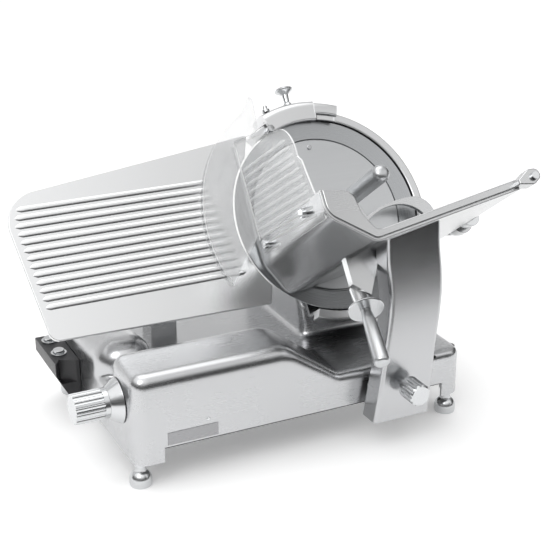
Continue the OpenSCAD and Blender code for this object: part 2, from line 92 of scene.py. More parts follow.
class Finish:  # one material and its nodes
    def __init__(self, name):
        self.material = bpy.data.materials.new(name)
        self.material.use_nodes = True
        self.tree = self.material.node_tree
        self.shader = self.tree.nodes["Principled BSDF"]

    def node(self, kind, settings=None, inputs=None, output=0):
        made = self.tree.nodes.new(kind)
        for key, value in (settings or {}).items():
            if key == "stops":
                ramp = made.color_ramp
                while len(ramp.elements) < len(value):
                    ramp.elements.new(1.0)
                for element, (place, colour) in zip(ramp.elements, value):
                    element.position = place
                    element.color = (*colour, 1.0)
            else:
                setattr(made, key, value)
        for key, value in (inputs or {}).items():
            plug(self.tree, made.inputs[key], value)
        return Wire(self.tree, made.outputs[output])

    def surface(self, **values):
        for key, value in values.items():
            plug(self.tree, self.shader.inputs[key.replace("_", " ")], value)
        return self.material

    def place(self):
        return self.node("ShaderNodeTexCoord", output=3)

    def stretched(self, scale, turn=(0, 0, 0)):  # object coordinates, turned and then stretched
        laid = self.node("ShaderNodeMapping", {"vector_type": "TEXTURE"},
                         {"Vector": self.place(), "Rotation": turn})
        return self.node("ShaderNodeVectorMath", {"operation": "MULTIPLY"}, {0: laid, 1: scale})

    def speckle(self, scale, detail=2.0, roughness=0.5, vector=None):
        return self.node("ShaderNodeTexNoise", {"noise_dimensions": "3D"},
                         {"Vector": vector or self.place(), "Scale": scale, "Detail": detail,
                          "Roughness": roughness})

    def tint(self, mask, dark, light):
        return self.node("ShaderNodeMix", {"data_type": "RGBA"},
                         {0: mask, 6: (*dark, 1), 7: (*light, 1)}, output=2)

    def bump(self, height, strength, distance):
        return self.node("ShaderNodeBump", None,
                         {"Strength": strength, "Distance": distance, "Height": height})

    def mapped(self, value, low, high, toLow, toHigh):
        return self.node("ShaderNodeMapRange", None, {0: value, 1: low, 2: high, 3: toLow, 4: toHigh})


def polishedCasting(name, shade, roughness, grain=0.004):  # hand polished aluminium casting
    f = Finish(name)
    cloud = f.speckle(7.0, 3.0)
    lay = f.speckle(700.0, 2.0, 0.6, f.stretched((0.04, 1.0, 1.0)))
    pores = f.speckle(2600.0, 1.0)
    rough = roughness + (cloud - 0.5) * 0.08 + (lay - 0.5) * 0.03
    colour = f.tint(cloud, tuple(c * 0.94 for c in shade), shade)
    return f.surface(Base_Color=colour, Metallic=1.0, Roughness=rough,
                     Normal=f.bump(lay * 0.6 + pores * 0.4, grain, 0.0004))


def brushedSheet(name, shade, roughness, turn, streak=0.06):  # stainless sheet brushed one way
    f = Finish(name)
    lines = f.speckle(260.0, 3.0, 0.65, f.stretched((0.03, 1.0, 1.0), turn))
    cloud = f.speckle(5.0, 2.0)
    rough = roughness + (lines - 0.5) * 0.22
    colour = f.tint(lines * 0.7 + cloud * 0.3, tuple(c * 0.88 for c in shade), shade)
    return f.surface(Base_Color=colour, Metallic=1.0, Roughness=rough, Normal=f.bump(lines, streak, 0.0003))


def spunSteel(name, shade, roughness):  # steel turned on a lathe, with rings round the blade's centre
    f = Finish(name)
    centre = tuple(c * 0.001 for c in layout["bladeCentre"])
    offset = f.node("ShaderNodeVectorMath", {"operation": "SUBTRACT"}, {0: f.place(), 1: centre})
    reach = f.node("ShaderNodeVectorMath", {"operation": "LENGTH"}, {0: offset}, output=1)
    rings = f.node("ShaderNodeTexNoise", {"noise_dimensions": "1D"},
                   {"W": reach, "Scale": 1600.0, "Detail": 3.0})
    cloud = f.speckle(9.0, 2.0)
    rough = roughness + (rings - 0.5) * 0.18 + (cloud - 0.5) * 0.05
    colour = f.tint(rings * 0.6 + cloud * 0.4, tuple(c * 0.86 for c in shade), shade)
    return f.surface(Base_Color=colour, Metallic=1.0, Roughness=rough, Normal=f.bump(rings, 0.05, 0.0002))


def brightMetal(name, shade, roughness):  # plated or polished small parts
    f = Finish(name)
    cloud = f.speckle(60.0, 3.0)
    fine = f.speckle(1200.0, 2.0)
    rough = roughness + (cloud - 0.5) * 0.05
    colour = f.tint(cloud, tuple(c * 0.95 for c in shade), shade)
    return f.surface(Base_Color=colour, Metallic=1.0, Roughness=rough, Normal=f.bump(fine, 0.015, 0.0002))


def mouldedPlastic(name, shade, roughness, grain=0.12):
    f = Finish(name)
    leather = f.speckle(420.0, 3.0)
    cloud = f.speckle(12.0, 2.0)
    colour = f.tint(cloud, tuple(c * 0.8 for c in shade), tuple(min(1, c * 1.15) for c in shade))
    rough = roughness + (leather - 0.5) * 0.12
    return f.surface(Base_Color=colour, Roughness=rough, Normal=f.bump(leather, grain, 0.0004))


def clearSheet(name, body=0.2, tone=0.86):  # clear plastic, a little milky with use
    f = Finish(name)
    smears = f.speckle(14.0, 4.0, 0.6)
    colour = f.tint(smears, (tone * 0.97, tone * 0.99, tone), (tone, tone, tone))
    return f.surface(Base_Color=colour, Roughness=f.mapped(smears, 0.3, 0.8, 0.05, 0.14),
                     Specular_IOR_Level=0.8, Alpha=f.mapped(smears, 0.3, 0.7, body, body + 0.08))


def gritStone(name):
    f = Finish(name)
    grit = f.speckle(2200.0, 2.0)
    colour = f.tint(grit, (0.16, 0.14, 0.13), (0.42, 0.38, 0.35))
    return f.surface(Base_Color=colour, Roughness=0.9, Normal=f.bump(grit, 0.6, 0.0004))


finishes = {
    "base": polishedCasting("baseCasting", (0.56, 0.565, 0.575), 0.27),
    "tray": polishedCasting("trayCasting", (0.58, 0.585, 0.59), 0.26),
    "gauge": polishedCasting("gaugeCasting", (0.74, 0.745, 0.75), 0.24),
    "ring": polishedCasting("ringCasting", (0.70, 0.705, 0.71), 0.36),
    "cap": polishedCasting("capCasting", (0.72, 0.725, 0.73), 0.30),
    "arm": polishedCasting("armCasting", (0.54, 0.545, 0.555), 0.24),
    "small": polishedCasting("smallCasting", (0.56, 0.565, 0.57), 0.27),
    "blade": spunSteel("bladeSteel", (0.42, 0.43, 0.44), 0.30),
    "cover": brushedSheet("coverSheet", (0.58, 0.59, 0.60), 0.33, (0, 0, 0)),
    "sheet": brushedSheet("plainSheet", (0.66, 0.67, 0.68), 0.36, (0, 0, 0)),
    "steel": brightMetal("turnedSteel", (0.68, 0.69, 0.70), 0.24),
    "chrome": brightMetal("brightChrome", (0.62, 0.63, 0.64), 0.09),
    "knob": brightMetal("knobAluminium", (0.64, 0.65, 0.66), 0.22),
    "satin": brushedSheet("satinGrip", (0.60, 0.61, 0.62), 0.34, (math.radians(36), 0, 0), 0.03),
    # painted highlight: a brighter, near-opaque copy of the clear plastic for the guards' cut edges
    "clearEdgeHighlight": clearSheet("clearPlasticEdgeHighlight", 0.8, 1.0),
    # painted highlight: a brighter, more opaque copy of the clear plastic so the ribs stand out as refraction
    # would make them
    "clearRibHighlight": clearSheet("clearPlasticRibHighlight", 0.42, 0.95),
    "clear": clearSheet("clearPlastic"),
    "black": mouldedPlastic("blackPlastic", (0.018, 0.018, 0.02), 0.38),
    "motor": mouldedPlastic("motorEnamel", (0.10, 0.11, 0.12), 0.45, 0.05),
    "rubber": mouldedPlastic("beltRubber", (0.02, 0.02, 0.02), 0.7, 0.2),
    "bronze": brightMetal("bearingBronze", (0.62, 0.42, 0.20), 0.30),
    "shoe": mouldedPlastic("shoePlastic", (0.80, 0.80, 0.77), 0.5, 0.05),
    "stone": gritStone("grindingStone"),
    "plate": brushedSheet("labelFoil", (0.36, 0.36, 0.37), 0.28, (0, 0, 0), 0.03),
    # painted shade: a near-black material for a strip and a disc that stand in for shadow in a gap and a hole
    "dark": mouldedPlastic("paintedShadeDark", (0.015, 0.015, 0.016), 0.6, 0.05),
}
print("finishes made:", len(finishes))


def meshFrom(name, points, faces):
    mesh = bpy.data.meshes.new(name)
    mesh.from_pydata([tuple(p) for p in points], [], faces)
    mesh.update()
    return mesh


def filletOutline(points, radius, steps):  # rounds each corner of a closed outline by its own radius
    done = []
    count = len(points)
    for i, point in enumerate(points):
        corner = Vector(point)
        size = radius[i]
        before = Vector(points[i - 1]) - corner
        after = Vector(points[(i + 1) % count]) - corner
        turn = before.angle(after)
        if size < 0.01 or turn > math.radians(176):
            done.append(corner)
            continue
        reach = min(size / math.tan(turn / 2), before.length * 0.48, after.length * 0.48)
        start = corner + before.normalized() * reach
        end = corner + after.normalized() * reach
        for k in range(steps + 1):
            t = k / steps
            done.append(start * (1 - t) ** 2 + corner * 2 * t * (1 - t) + end * t * t)
    return done


def bevelled(obj, width, segments, angle):  # the width in the mesh's own units
    soften = obj.modifiers.new("softEdge", "BEVEL")
    soften.width = width
    soften.segments = segments
    soften.limit_method = "ANGLE"
    soften.angle_limit = math.radians(angle)


def applied(obj):
    graph = bpy.context.evaluated_depsgraph_get()
    mesh = bpy.data.meshes.new_from_object(obj.evaluated_get(graph), preserve_all_data_layers=True,
                                           depsgraph=graph)
    obj.modifiers.clear()
    old = obj.data
    obj.data = mesh
    bpy.data.meshes.remove(old)


def placed(name, mesh):
    obj = bpy.data.objects.new(name, mesh)
    bpy.context.scene.collection.objects.link(obj)
    return obj


def released(holder):  # the mesh a throwaway object's modifiers make
    graph = bpy.context.evaluated_depsgraph_get()
    mesh = bpy.data.meshes.new_from_object(holder.evaluated_get(graph))
    bpy.data.objects.remove(holder)
    return mesh


def rounded(mesh, width, segments, angle):  # bevels a loose mesh and gives it back
    holder = placed("holder", mesh)
    bevelled(holder, width, segments, angle)
    return released(holder)


def settled(obj, sharp=42):  # applies the modifiers and evens out the shading
    applied(obj)
    for polygon in obj.data.polygons:
        polygon.use_smooth = True
    obj.data.set_sharp_from_angle(angle=math.radians(sharp))
    even = obj.modifiers.new("evenShading", "WEIGHTED_NORMAL")
    even.keep_sharp = True
    even.weight = 60
    applied(obj)
    return obj


def piece(name, mesh, node, finish, place=None, width=0, segments=3, angle=32, sharp=42):
    if place is not None:
        mesh.transform(place)
    cleaner = bmesh.new()
    cleaner.from_mesh(mesh)
    bmesh.ops.recalc_face_normals(cleaner, faces=cleaner.faces)
    cleaner.to_mesh(mesh)
    cleaner.free()
    obj = placed(name, mesh)
    mesh.materials.append(finishes[finish])
    if width:
        bevelled(obj, width * 0.001, segments, angle)
    settled(obj, sharp)
    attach(obj, bodyOf[node])
    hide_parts(node)
    return obj


def softCopy(node, name, finish, width, segments):  # a CAD part with its edges eased
    source = frame["nodes"][node].data
    mesh = meshFrom(name, [v.co for v in source.vertices], [tuple(p.vertices) for p in source.polygons])
    welded = bmesh.new()
    welded.from_mesh(mesh)
    bmesh.ops.remove_doubles(welded, verts=welded.verts, dist=2e-6)
    bmesh.ops.dissolve_limit(welded, angle_limit=math.radians(0.6), verts=welded.verts, edges=welded.edges)
    welded.to_mesh(mesh)
    welded.free()
    return piece(name, mesh, node, finish, None, width, segments)


def extra(name, mesh, finish, even=False):  # a small piece that no CAD part stands for
    obj = placed(name, mesh)
    mesh.materials.append(finishes[finish])
    if even:
        settled(obj)
    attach(obj, "base")


def lathe(name, profile, segments=96):  # [radius, height] pairs turned round the z axis
    points, faces, rings = [], [], []
    for radius, height in profile:
        if radius < 1e-4:
            rings.append([len(points)])
            points.append((0, 0, height))
        else:
            rings.append(list(range(len(points), len(points) + segments)))
            points += [(radius * math.cos(a), radius * math.sin(a), height)
                       for a in (2 * math.pi * i / segments for i in range(segments))]
    for one, two in zip(rings, rings[1:]):
        for i in range(segments):
            j = (i + 1) % segments
            quad = [one[i % len(one)], one[j % len(one)], two[j % len(two)], two[i % len(two)]]
            faces.append(tuple(dict.fromkeys(quad)))
    return meshFrom(name, points, [f for f in faces if len(f) > 2])


def slab(name, outline, low, high):  # a flat outline drawn out along z
    count = len(outline)
    points = [(p[0], p[1], low) for p in outline] + [(p[0], p[1], high) for p in outline]
    faces = [tuple(reversed(range(count))), tuple(range(count, 2 * count))]
    faces += [(i, (i + 1) % count, (i + 1) % count + count, i + count) for i in range(count)]
    return meshFrom(name, points, faces)


def joined(name, meshes):
    both = bmesh.new()
    for mesh in meshes:
        both.from_mesh(mesh)
    result = bpy.data.meshes.new(name)
    both.to_mesh(result)
    both.free()
    return result


def arcPoints(x, y, radius, start, end, steps):
    angles = [math.radians(start + (end - start) * i / steps) for i in range(steps + 1)]
    return [Vector((x + radius * math.cos(a), y + radius * math.sin(a))) for a in angles]


def turned(x, y, z, axis):  # places a lathe piece: its z axis along the given axis
    aimed = Vector((0, 0, 1)).rotation_difference(Vector(axis)).to_matrix().to_4x4()
    return Matrix.Translation((x, y, z)) @ aimed


def softLine(points, radii, steps):  # rounds the inner corners of an open line
    return filletOutline(points, [0] + list(radii) + [0], steps)


def sweepRound(name, profile, start, end, steps):  # (radius, height) pairs turned through part of a circle
    count = len(profile)
    points, faces = [], []
    for k in range(steps + 1):
        a = math.radians(start + (end - start) * k / steps)
        points += [(p[0] * math.cos(a), p[0] * math.sin(a), p[1]) for p in profile]
    for k in range(steps):
        for i in range(count):
            j = (i + 1) % count
            faces.append((k * count + i, k * count + j, (k + 1) * count + j, (k + 1) * count + i))
    faces += [tuple(range(count)), tuple(reversed(range(steps * count, (steps + 1) * count)))]
    return meshFrom(name, points, faces)


def curveThrough(pairs, place):  # a smooth line through (place, value) pairs
    for i in range(len(pairs) - 1):
        if place <= pairs[i + 1][0] or i == len(pairs) - 2:
            (a, va), (b, vb) = pairs[i], pairs[i + 1]
            before = pairs[i - 1] if i else (2 * a - b, 2 * va - vb)
            after = pairs[i + 2] if i + 2 < len(pairs) else (2 * b - a, 2 * vb - va)
            t = (place - a) / (b - a)
            ma = (vb - before[1]) / (b - before[0]) * (b - a)
            mb = (after[1] - va) / (after[0] - a) * (b - a)
            return ((2 * t ** 3 - 3 * t * t + 1) * va + (t ** 3 - 2 * t * t + t) * ma
                    + (3 * t * t - 2 * t ** 3) * vb + (t ** 3 - t * t) * mb)


def inside(point, outline):  # whether a point lies within a closed outline
    hit = False
    for i in range(len(outline)):
        (xa, ya), (xb, yb) = outline[i - 1], outline[i]
        if (ya > point[1]) != (yb > point[1]) and point[0] < (xb - xa) * (point[1] - ya) / (yb - ya) + xa:
            hit = not hit
    return hit


def smoothStep(t):
    t = max(0.0, min(1.0, t))
    return t * t * (3 - 2 * t)


def endFade(distance, reach):  # how far a rib has risen at a distance from its end
    return math.sqrt(max(0, 1 - max(0, 1 - distance / reach) ** 2))


def ribFaces(start, steps, across):  # the faces between a rib's rows of points
    return [(a, a + across + 1, a + across + 2, a + 1)
            for a in (start + i * (across + 1) + j for i in range(steps) for j in range(across))]


base = {"left": -315.4, "right": 290, "front": -209, "back": 209, "bottom": 46, "deck": 131, "hump": 200,
        "humpBack": -95, "corner": 24, "humpRound": 21, "deckRound": 13, "wall": 5, "voxel": 3.0, "polish": 9,
        "humpEnd": -66, "humpCurve": 60, "slopeStart": -27.4, "slopeTop": 186.0, "slopeEnd": 36.7,
        "slopeFoot": 138.0, "deckStart": 56, "deckCurve": 30, "rearRight": -215, "rearFront": -60,
        "rearCorner": 46, "rearTop": 186, "rearRound": 42, "rearFoot": 120, "rearFall": 30,
        "postLeft": 60, "postRight": 240, "postRound": 14, "gapLeft": -267, "gapRight": 250, "gapTop": 72,
        "bossRound": 11.8, "boreRound": 12.6, "seatRound": 20, "seatDeep": 16}


def crestHeight(x):  # height of the front housing along its length
    b = base
    if x < b["humpEnd"]:
        return b["hump"]
    if x < b["slopeStart"]:
        return b["hump"] - b["humpCurve"] + math.sqrt(max(0, b["humpCurve"] ** 2 - (x - b["humpEnd"]) ** 2))
    if x > b["deckStart"]:
        return b["deck"]
    if x > b["slopeEnd"]:
        return b["deck"] + b["deckCurve"] - math.sqrt(max(0, b["deckCurve"] ** 2 - (x - b["deckStart"]) ** 2))
    t = (x - b["slopeStart"]) / (b["slopeEnd"] - b["slopeStart"])
    return b["slopeTop"] + (b["slopeFoot"] - b["slopeTop"]) * t


def crestRounding(x):  # the housing's edge radius, easing into the deck's
    return base["humpRound"] + (base["deckRound"] - base["humpRound"]) * smoothStep((x + 40) / 100)


def softBlock(name, left, right, front, back, corner, floorHeight, crest, rounding):
    stations = []
    for i in range(9):
        a = math.pi / 2 * i / 8
        stations.append((left + corner, -math.cos(a), math.sin(a)))
    x = left + corner + 6
    while x < right - corner - 3:
        stations.append((x, 0, 1))
        x += 6
    for i in range(9):
        a = math.pi / 2 * i / 8
        stations.append((right - corner, math.sin(a), math.cos(a)))
    points, rings = [], []
    levels = [(0, None)]
    levels += [(1 - math.cos(math.pi / 2 * k / 8), math.sin(math.pi / 2 * k / 8)) for k in range(9)]
    for inset, lift in levels:
        frontRing, backRing = [], []
        for cx, ax, ay in stations:
            size = rounding(cx)
            reach = corner - inset * size
            px = cx + ax * reach
            top = crest(px)
            z = floorHeight if lift is None else top - size + size * lift
            frontRing.append((px, front + corner - ay * reach, z))
            backRing.append((px, back - corner + ay * reach, z))
        ring = frontRing + list(reversed(backRing))
        rings.append(range(len(points), len(points) + len(ring)))
        points += ring
    count = len(rings[0])
    faces = []
    for one, two in zip(rings, rings[1:]):
        faces += [(one[i], one[(i + 1) % count], two[(i + 1) % count], two[i]) for i in range(count)]
    for ring in (rings[0], rings[-1]):
        half = count // 2
        faces += [(ring[i], ring[i + 1], ring[count - 2 - i], ring[count - 1 - i]) for i in range(half - 1)]
    return meshFrom(name, points, faces)


def alongX(name, outline, low, high):  # a side outline of (y, z) drawn out along x
    mesh = slab(name, outline, low, high)
    mesh.transform(outlineAlongX)
    return mesh


def bladeSide(u, n):  # (y, z) of a point u up the blade and n out of it
    return (16 + u * math.sin(lean) - n * math.cos(lean), 330 + u * math.cos(lean) + n * math.sin(lean))


def baseSkin():  # the casting's blocks melted into one smooth skin
    b = base
    foot = b["bottom"] - 12
    front = softBlock("front", b["left"], b["right"], b["front"], b["humpBack"], b["corner"], foot,
                      crestHeight, crestRounding)
    deck = softBlock("deck", b["left"], b["right"], b["humpBack"] - 60, b["back"], b["corner"], foot,
                     lambda x: b["deck"], lambda x: b["deckRound"])
    rear = softBlock("rear", b["left"], b["rearRight"], b["rearFront"], b["back"], b["rearCorner"],
                     b["bottom"] + 10, lambda x: b["rearTop"], lambda x: b["rearRound"])
    for v in rear.vertices:  # the rear block falls away towards the back
        if v.co.z > b["rearFoot"]:
            share = (v.co.z - b["rearFoot"]) / (b["rearTop"] - b["rearFoot"])
            v.co.z -= share * b["rearFall"] * smoothStep((v.co.y - 20) / 170)
    side = [(-58, 100), bladeSide(-150, -44), bladeSide(60, -44), (200, 300), (203, 100)]
    post = rounded(alongX("post", side, b["postLeft"], b["postRight"]), b["postRound"], 6, 32)
    holder = placed("holder", joined("baseBody", [front, deck, rear, post]))
    skin = holder.modifiers.new("oneSkin", "REMESH")
    skin.mode = "VOXEL"
    skin.voxel_size = b["voxel"]
    ease = holder.modifiers.new("polish", "SMOOTH")
    ease.factor = 0.5
    ease.iterations = b["polish"]
    return released(holder)


def baseCut(shell, place, way, clear=False):
    everything = shell.verts[:] + shell.edges[:] + shell.faces[:]
    bmesh.ops.bisect_plane(shell, geom=everything, dist=0.01, plane_co=place, plane_no=way, clear_inner=clear)


def baseShell():  # the skin opened below and along the front wall's foot, then given its thickness
    b = base
    shell = bmesh.new()
    shell.from_mesh(baseSkin())
    joint = [v for v in shell.verts if 40 < v.co.x < 260 and -90 < v.co.y < 215 and 126 < v.co.z < 158]
    for _ in range(24):
        bmesh.ops.smooth_vert(shell, verts=joint, factor=0.5, use_axis_x=True, use_axis_y=True,
                              use_axis_z=True)
    baseCut(shell, (0, 0, b["bottom"]), (0, 0, 1), True)
    baseCut(shell, (0, 0, b["gapTop"]), (0, 0, 1))
    baseCut(shell, (b["gapLeft"], 0, 0), (1, 0, 0))
    baseCut(shell, (b["gapRight"], 0, 0), (1, 0, 0))
    gap = []
    for face in shell.faces:
        x, y, z = face.calc_center_median()
        if z < b["gapTop"] and b["gapLeft"] < x < b["gapRight"] and y < -190:
            gap.append(face)
    bmesh.ops.delete(shell, geom=gap, context="FACES")
    bmesh.ops.recalc_face_normals(shell, faces=shell.faces)
    mesh = bpy.data.meshes.new("baseShell")
    shell.to_mesh(mesh)
    shell.free()
    holder = placed("holder", mesh)
    thick = holder.modifiers.new("wall", "SOLIDIFY")
    thick.thickness = b["wall"]
    thick.offset = -1
    return released(holder)


def makeBase():
    b = base
    parts = [baseShell()]
    low = b["bottom"] + 0.2
    for x, y, top in ((-299, -181, 192), (277, -181, 127), (-299, 181, 140), (277, 181, 127)):
        boss = lathe("boss", [(4, low), (b["bossRound"], low), (b["bossRound"], top)], 32)
        boss.transform(Matrix.Translation((x, y, 0)))
        parts.append(boss)
    bore, rim, deep = b["boreRound"], b["seatRound"], b["seatDeep"]
    for x in (-312, 270):  # the guide rod's seats
        seat = lathe("seat", [(bore, 0), (rim, 0), (rim, deep), (bore, deep), (bore, 0)], 48)
        seat.transform(turned(x, -150, 95, (1, 0, 0)))
        parts.append(seat)
    return piece("baseCasting", joined("baseCasting", parts), "base_casting", "base", layoutFrame, sharp=50)


def makeBaseExtras():  # painted shade: a dark strip for the shadow in the gap under the front wall's lower edge, the plate's rivet, and a dark disc of painted shade for the inside of the end hole
    # painted shade: a thin dark strip stands in for the shadow in the gap under the wall's lower edge
    gapShade = slab("gapShadeStrip", [(-266, -208.6), (249, -208.6), (249, -204.6), (-266, -204.6)], 70.4, 72.2)
    gapShade.transform(layoutFrame)
    extra("gapShadeStrip", gapShade, "dark")
    rivet = lathe("plateRivet", [(0, 0), (3.2, 0), (3.2, 0.5), (2.4, 1.2), (0, 1.5)], 32)
    rivet.transform(layoutFrame @ turned(-191, -208.8, 106.3, (0, -1, 0)))
    extra("plateRivet", rivet, "steel")
    # painted shade: a thin dark disc stands in for the shaded inside of the hole
    hole = lathe("endHoleShade", [(0, 0), (3.0, 0), (3.0, 0.25), (0, 0.25)], 32)
    hole.transform(layoutFrame @ turned(233, -207.6, 124.8, (0, -0.88, 0.47)))
    extra("endHoleShade", hole, "dark")


makeBase()
makeBaseExtras()
print("base casting done")

gauge = {"hollow": 178, "thick": 8, "ribHeight": 1.5, "ribs": 13, "ribWidth": 10.6, "edge": 2.6,
         "firstRib": 90, "ribSpan": 168, "ribSteps": 40, "ribAcross": 10, "ribFade": 9, "ribSunk": 0.25}


def makeGauge():
    g = gauge
    outline = arcPoints(-521, -117, 18, 188, 262, 10) + [Vector((-150, -140))]
    outline += arcPoints(0, 0, g["hollow"], 218, 136, 60)
    outline += arcPoints(-121, 150, 14, 60, 98, 6) + arcPoints(-504, 60.5, 59, 101, 189, 20)
    plate = rounded(slab("gaugePlate", outline, -g["thick"], 0), g["edge"], 4, 40)
    steps, across = g["ribSteps"], g["ribAcross"]
    points, faces = [], []
    for i in range(g["ribs"]):
        u = g["firstRib"] - i * g["ribSpan"] / (g["ribs"] - 1)
        left = -504 - math.sqrt(3481 - (u - 60.5) ** 2) + 9 if u > 45 else -553 + (45 - u) * 0.14
        right = -209 + (90 - u) * 0.17
        start = len(points)
        for k in range(steps + 1):
            t = k / steps
            fade = endFade(min(t, 1 - t) * (right - left), g["ribFade"])
            x = left + (right - left) * t
            for j in range(across + 1):
                w = 2 * j / across - 1
                v = u + w * g["ribWidth"] / 2 * (0.25 + 0.75 * fade)
                lift = (g["ribHeight"] + g["ribSunk"]) * fade * (1 - w * w) ** 0.75
                points.append((x, v, lift - g["ribSunk"]))
        faces += ribFaces(start, steps, across)
    ribs = meshFrom("ribs", points, faces)
    back = meshFrom("ribBacks", [(p[0], p[1], -0.3) for p in points], [tuple(reversed(f)) for f in faces])
    whole = joined("gaugePlate", [plate, ribs, back])
    return piece("gaugePlate", whole, "gauge_plate", "gauge", bladeFrame, sharp=60)


makeGauge()
print("gauge plate done")

softParts = [
    ("bottom_cover", "bottomCover", "sheet", 0.3, 1), ("nameplate", "blankPlate", "plate", 0.25, 2),
    ("power_gland", "powerGland", "black", 0.8, 2), ("switch_box", "switchBox", "black", 2.2, 4),
    ("knob_shaft", "knobShaft", "steel", 0.6, 2), ("gauge_bracket", "gaugeBracket", "small", 2.0, 3),
    ("gauge_shaft", "gaugeShaft", "steel", 0.8, 2), ("gauge_guide", "gaugeGuide", "small", 1.5, 3),
    ("blade_hub", "bladeHub", "steel", 0.5, 2), ("blade_screws", "bladeScrews", "steel", 0.4, 2),
    ("blade_spindle", "bladeSpindle", "steel", 0.5, 2), ("cover_pin", "coverPin", "chrome", 0.6, 2),
    ("blade_housing", "bladeHousing", "small", 1.0, 2),
    ("slice_deflector", "sliceDeflector", "sheet", 0.3, 1),
    ("motor", "motorCan", "motor", 2.0, 3), ("motor_pulley", "motorPulley", "steel", 0.4, 2),
    ("drive_belt", "driveBelt", "rubber", 0.5, 2), ("guide_rod", "guideRod", "chrome", 0.6, 2),
    ("guide_bar", "guideBar", "chrome", 0.8, 2), ("carriage_foot", "carriageFoot", "small", 1.8, 3),
    ("bushings", "bushings", "bronze", 0.4, 2), ("guide_shoe", "guideShoe", "shoe", 0.8, 2),
    ("hinge_pin", "hingePin", "chrome", 0.6, 2), ("tray_bracket", "trayBracket", "tray", 2.0, 3),
    ("guard_screws", "guardScrews", "chrome", 0.5, 2), ("pusher_rod", "pusherRod", "chrome", 0.8, 2),
    ("pusher_sleeve", "pusherSleeve", "steel", 0.8, 2), ("pusher_arm", "pusherArm", "tray", 1.8, 3),
    ("pusher_spikes", "pusherSpikes", "steel", 0.0, 1), ("sharpener_post", "sharpenerPost", "small", 1.0, 2),
    ("sharpener_knob", "sharpenerKnob", "chrome", 0.4, 2),
    ("sharpener_nut", "sharpenerNut", "chrome", 0.5, 2),
    ("grind_spindle", "grindSpindle", "steel", 0.3, 2), ("grind_stone", "grindStone", "stone", 0.5, 2),
    ("switch_rings", "switchRings", "chrome", 0.6, 3), ("start_button", "startButton", "chrome", 0.8, 3),
    ("stop_button", "stopButton", "chrome", 0.8, 3), ("thickness_knob", "thicknessKnob", "knob", 0.5, 2),
    ("knob_dial", "knobDial", "knob", 0.8, 3), ("feet", "feet", "knob", 0.4, 2),
    ("arm_knob", "armKnob", "knob", 0.5, 2),
]
for node, name, finish, width, segments in softParts:
    softCopy(node, name, finish, width, segments)
print("softened parts done:", len(softParts))

bladeParts = {"radius": 175, "coverRadius": 139, "ringInner": 178, "ringOuter": 194, "ringStart": -112,
              "ringEnd": 124, "ringLip": 2.5}


def makeBladeParts():
    b = bladeParts
    edge = b["radius"]
    disc = [(38, -9), (38, -5), (141, -5), (142.5, -3.4), (168, -0.9), (edge - 0.6, 0), (edge, -0.5),
            (158, -6), (120, -9), (38, -9)]
    piece("blade", lathe("blade", disc, 256), "blade", "blade", bladeFrame, sharp=20)
    c = b["coverRadius"]
    cover = [(0, -2.9), (c - 1, -2.9), (c, -2.2), (c - 0.2, -1.3), (c - 1.0, -0.9), (25, -0.9), (24.6, -1.3),
             (24.0, -1.3), (23.6, -0.9), (0, -0.9)]
    piece("bladeCover", lathe("bladeCover", cover, 256), "blade_cover", "cover", bladeFrame, sharp=25)
    inner, outer, lip = b["ringInner"], b["ringOuter"], b["ringLip"]
    section = [(inner, -22), (inner, 1.2), (inner + 2, lip), (outer - 2, lip), (outer, 0), (outer, -22)]
    section = filletOutline(section, [0, 1, 2, 3, 3, 0], 5)
    ring = sweepRound("ringGuard", section, b["ringStart"], b["ringEnd"], 200)
    piece("ringGuard", ring, "ring_guard", "ring", bladeFrame, 0.8, 2, 50)


makeBladeParts()
print("blade parts done")

cap = {"start": 70, "notch": 83, "end": 113, "edge": 3.0}


def makeCap():
    first, notch, last = cap["start"], cap["notch"], cap["end"]
    shell = [(198, -35), (206, -35), (210, -26), (210, 16), (172, 16), (172, 8), (198, 8)]
    full = filletOutline(shell, [0, 2, 10, 13, 4, 1, 1], 7)
    short = [(x - 3.5 if x > 207 else x if x > 190 else 184, n) for x, n in shell]
    short = filletOutline(short, [0, 2, 10, 11, 4, 1, 1], 7)
    body = rounded(sweepRound("capBody", full, notch, last, 40), cap["edge"], 4, 50)
    wing = rounded(sweepRound("capWing", short, first, notch + 0.5, 20), cap["edge"], 4, 50)
    strip = [(173, 8.5), (181.5, 8.5), (181.5, 13.5), (173, 13.5)]
    plate = rounded(sweepRound("capPlate", strip, first + 1, notch - 0.6, 12), 0.8, 2, 50)
    foot = slab("capFoot", [(-45, 140), (-12, 140), (-12, 200), (-45, 198)], -35, -32)
    whole = joined("sharpenerCap", [body, wing, plate, foot])
    piece("sharpenerCap", whole, "sharpener_cap", "cap", bladeFrame, sharp=50)
    roller = lathe("capRoller", [(0, 0), (6.5, 0), (7.2, 1), (7.2, 12), (6, 14), (0, 14)], 40)
    roller.transform(bladeFrame @ turned(-70, 166, 2, (0, 0, 1)))
    extra("capRoller", roller, "knob", even=True)


makeCap()
print("sharpener cap done")

tray = {"near": 4, "far": 275, "wall": 5.2, "floorLeft": (-112, -70), "wallSide": -141, "wallTop": -30,
        "wallFoot": -70, "right": 211, "rim": 13, "lip": 8, "steps": 16}


def trayFloor(x):
    return layout["trayDrop"] + traySlope * x


def trayRim(x):
    return trayFloor(x) + tray["rim"]


def traySection(n):  # the wall and the floor as one line, n out of the blade
    t = (n - tray["near"]) / (tray["far"] - tray["near"])
    corner = tray["floorLeft"][0] + (tray["floorLeft"][1] - tray["floorLeft"][0]) * t
    line = [(tray["wallSide"], tray["wallTop"]), (tray["wallSide"], tray["wallFoot"]),
            (corner, trayFloor(corner) + 0.2), (tray["right"], trayFloor(tray["right"]))]
    return softLine(line, [30, 16], 9)


